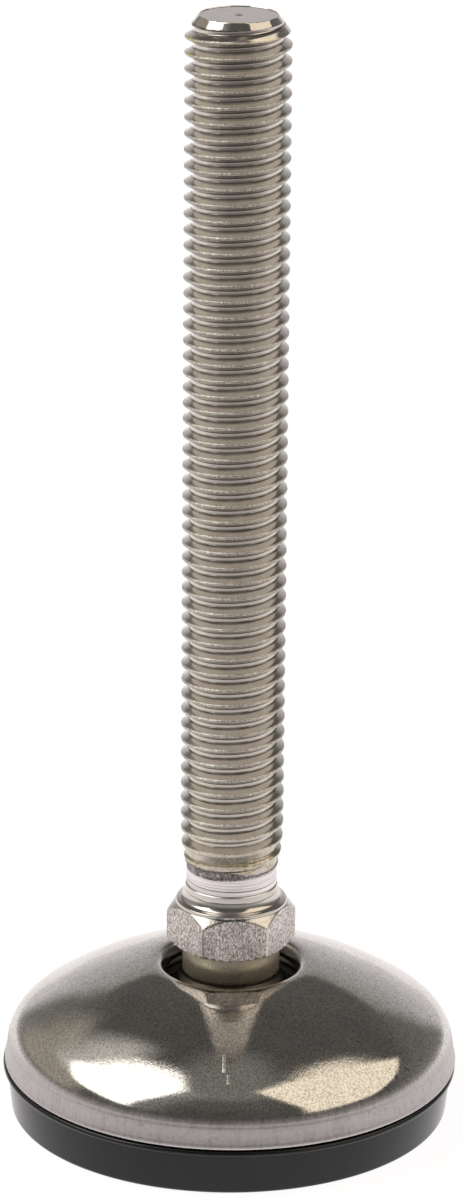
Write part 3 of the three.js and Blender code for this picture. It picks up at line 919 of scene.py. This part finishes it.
# ------------------------------------------------------------------ floor
def floor_material():
    """Plain pale to the camera; to the metal, a white sweep that dims towards the camera."""
    material = bpy.data.materials.new("pale_floor")
    g = Graph(material, "ShaderNodeOutputMaterial")
    seen = g.value("ShaderNodeBsdfPrincipled", {
        "Base Color": (0.14, 0.14, 0.14),
        "Roughness": 0.9,
        "Specular IOR Level": 0.0,
        "Emission Color": (1, 0.99, 0.99),
        "Emission Strength": 0.95,
    })
    y = g.split(g.coordinate("Object"))[1]
    fade_length = 0.26  # metres
    brightness = g.math("EXPONENT", g.math("MINIMUM", y, 0.0) * (1 / fade_length)) * 1.05
    reflected = g.value("ShaderNodeEmission", {"Color": (1.0, 0.965, 0.965),
                                               "Strength": brightness})
    camera_ray = g.value("ShaderNodeLightPath", {}, output="Is Camera Ray")
    g.finish(g.value("ShaderNodeMixShader", {0: camera_ray, 1: reflected, 2: seen}))
    return material


def floor():
    """A flat disc, in metres, just under the pad."""
    columns, radii, z = 48, (0.05, 0.4, 3.0), -0.00002
    verts = [(0, 0, z)] + [polar(r, a, z) for r in radii for a in even_angles(columns)]
    faces = [(0, 1 + i, 1 + (i + 1) % columns) for i in range(columns)]
    for ring in range(len(radii) - 1):
        inner = 1 + ring * columns
        outer = inner + columns
        for i in range(columns):
            k = (i + 1) % columns
            faces.append((inner + i, outer + i, outer + k, inner + k))
    mesh = bpy.data.meshes.new("floor")
    mesh.from_pydata(verts, [], faces)
    ob = link_object("floor", mesh)
    mesh.materials.append(floor_material())


# ------------------------------------------------------------------ studio
RAMP_LOW, RAMP_SPAN = -20, 110  # degrees of elevation covered by the wall ramps
# (elevation in degrees, colour) up each wall of the grey room
FRONT_WALL = [
    (-8, (0.85, 0.83, 0.83)), (-1, (0.60, 0.585, 0.58)), (6, (0.30, 0.29, 0.285)),
    (13, (0.18, 0.175, 0.17)), (20, (0.105, 0.102, 0.098)), (40, (0.115, 0.112, 0.107)),
    (66, (0.13, 0.127, 0.12)), (80, (0.24, 0.235, 0.22)),
]
REAR_WALLS = [
    (-14, (1.15, 1.13, 1.15)), (-5, (0.86, 0.84, 0.86)), (2, (0.62, 0.605, 0.61)),
    (7, (0.34, 0.33, 0.33)), (12, (0.25, 0.244, 0.24)), (25, (0.19, 0.185, 0.18)),
    (41, (0.112, 0.108, 0.104)), (72, (0.105, 0.102, 0.097)), (84, (0.24, 0.235, 0.22)),
]
BACK_PANEL = [
    (-14, (1.15, 1.13, 1.15)), (-4, (0.95, 0.93, 0.95)), (6, (0.76, 0.74, 0.76)),
    (14, (0.60, 0.585, 0.60)), (22, (0.48, 0.468, 0.475)), (29, (0.37, 0.36, 0.36)),
    (32, (0.13, 0.127, 0.122)), (72, (0.105, 0.102, 0.097)), (84, (0.24, 0.235, 0.22)),
]


def wall(g, elevation_share, stops):
    ramp = g.add("ShaderNodeValToRGB", {0: elevation_share})
    ramp.color_ramp.interpolation = "EASE"
    elements = ramp.color_ramp.elements
    for _ in stops[2:]:
        elements.new(0.5)
    # positions are written in order once every stop exists
    for k, (elevation, colour) in enumerate(stops):
        elements[k].position = (elevation - RAMP_LOW) / RAMP_SPAN
        elements[k].color = (*colour, 1)
    return Field(g, ramp.outputs[0])


def studio():
    """Two soft boxes in a grey room, all in the world."""
    world = bpy.data.worlds.new("studio")
    bpy.context.scene.world = world
    g = Graph(world, "ShaderNodeOutputWorld")
    x, y, z = g.split(g.coordinate("Generated"))
    # degrees: azimuth is 0 towards -Y and grows towards +X, elevation grows upwards
    to_degrees = 180 / math.pi
    azimuth = g.math("ARCTAN2", x, y * -1.0) * to_degrees
    elevation = g.math("ARCSINE", z) * to_degrees
    off_front = abs(azimuth)
    share = (elevation + -RAMP_LOW) * (1 / RAMP_SPAN)

    colour = off_front.rise(80, 125).mix(wall(g, share, FRONT_WALL), wall(g, share, REAR_WALLS))
    panel = g.math("MAXIMUM", azimuth.fall(-159, -152), azimuth.rise(145, 153))
    colour = panel.mix(colour, wall(g, share, BACK_PANEL))

    fringe = azimuth.window((-90, -62), (-60, -28)) * elevation.window((16, 34), (76, 84))
    strip = off_front.rise(168, 172) * elevation.window((38, 46), (74, 80))
    left_wall = azimuth.window((-152, -138), (-96, -78)) * elevation.window((8, 14), (36, 44))
    left_rear = (azimuth.window((-142, -127), (-122, -112))
                 * elevation.window((32, 40), (56, 70)))

    # the soft boxes are flat panels overhead: their straight edges are planes
    # through the object, each positive on the lit side
    left_far = x * -0.79 - y - z * 0.095
    left_near = y - x * 0.74 - z * 0.115
    above_left = elevation - (12.0 - azimuth * 0.25)
    left_box = (left_far.rise(-0.025, 0.02) * left_near.rise(-0.05, 0.04)
                * (above_left.rise(-3, 2) * elevation.fall(75, 80)))
    right_far = x - y - z * 0.185
    right_near = x * 1.2 + y - z * 0.095
    right_end = z * 1.93 - x - y * 1.16
    right_box = (right_far.rise(-0.015, 0.03) * right_near.rise(-0.03, 0.035)
                 * (right_end.rise(-0.04, 0.03) * elevation.rise(20, 26)))
    camera_ray = g.value("ShaderNodeLightPath", {}, output="Is Camera Ray")

    # later layers cover earlier ones
    for mask, light in [
        (fringe, (0.33, 0.325, 0.31)),  # pale, beside the left soft box
        (strip, (0.40, 0.37, 0.31)),  # narrow, high at the back
        (left_wall, (0.42, 0.39, 0.34)),
        (left_rear, (0.68, 0.66, 0.62)),
        (left_box, (2.7, 2.65, 2.5)),
        (right_box, (1.30, 1.16, 0.96)),
        (camera_ray, (1.0, 0.985, 0.99)),  # the backdrop the camera sees
    ]:
        colour = mask.mix(colour, light)
    g.finish(g.value("ShaderNodeBackground", {"Color": colour, "Strength": 1.0}))


# ------------------------------------------------------------------ camera
def camera():
    """Looks down from -Y, with a slight roll."""
    tilt, roll = 0.3401, 0.0083  # radians
    location = (-0.0002477, -0.452877, 0.208916)  # metres
    data = bpy.data.cameras.new("camera")
    data.sensor_fit = "VERTICAL"
    data.sensor_height = 36.0
    data.lens = 153.885
    data.shift_y = 0.02125
    data.clip_start, data.clip_end = 0.01, 20
    ob = link_object("camera", data)
    forward = np.array([0, math.cos(tilt), -math.sin(tilt)])
    level = np.array([1.0, 0, 0])
    down = np.cross(forward, level)
    right = math.cos(roll) * level - math.sin(roll) * down
    up = -(math.sin(roll) * level + math.cos(roll) * down)
    pose = np.eye(4)
    pose[:3] = np.column_stack([right, up, -forward, location])
    ob.matrix_world = Matrix(pose.tolist())
    bpy.context.scene.camera = ob


# ------------------------------------------------------------------ build
rod_steel, hex_steel, dome_steel = rolled_steel(), turned_hex_steel(), pressed_satin_steel()
rubber, plastic, zinc, spring = moulded_rubber(), acetal(), zinc_plated_steel(), spring_steel()

# piece, body it rides on, CAD node it replaces, slot, material
PIECES = [
    (threaded_rod, "stud", "threaded_spindle", "stud_steel", rod_steel),
    (hex_end, "stud", "hex_ball_end", "hex_steel", hex_steel),
    (dome, "base", "dome_shell", "dome_steel", dome_steel),
    (pad, "base", "rubber_pad", "pad_rubber", rubber),
    (crown_backing, "base", "crown_ring", "inner_steel", zinc),
    (seat_liner, "seat", "upper_ball_seat", "liner_plastic", plastic),
    (cup_liner, "cup", "lower_ball_cup", "liner_plastic", plastic),
    (socket, "base", "socket_plate", "inner_steel", zinc),
    (wave_washer, "base", "wave_spring", "spring_steel", spring),
    (snap_ring, "base", "retaining_ring", "spring_steel", spring),
]
for make, body, node, slot, material in PIECES:
    piece = make()
    piece.data.materials.append(material)
    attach(piece, body)
    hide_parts(node)

floor()
studio()
camera()
bpy.context.scene.view_settings.view_transform = "Standard"
bpy.context.scene.view_settings.look = "None"
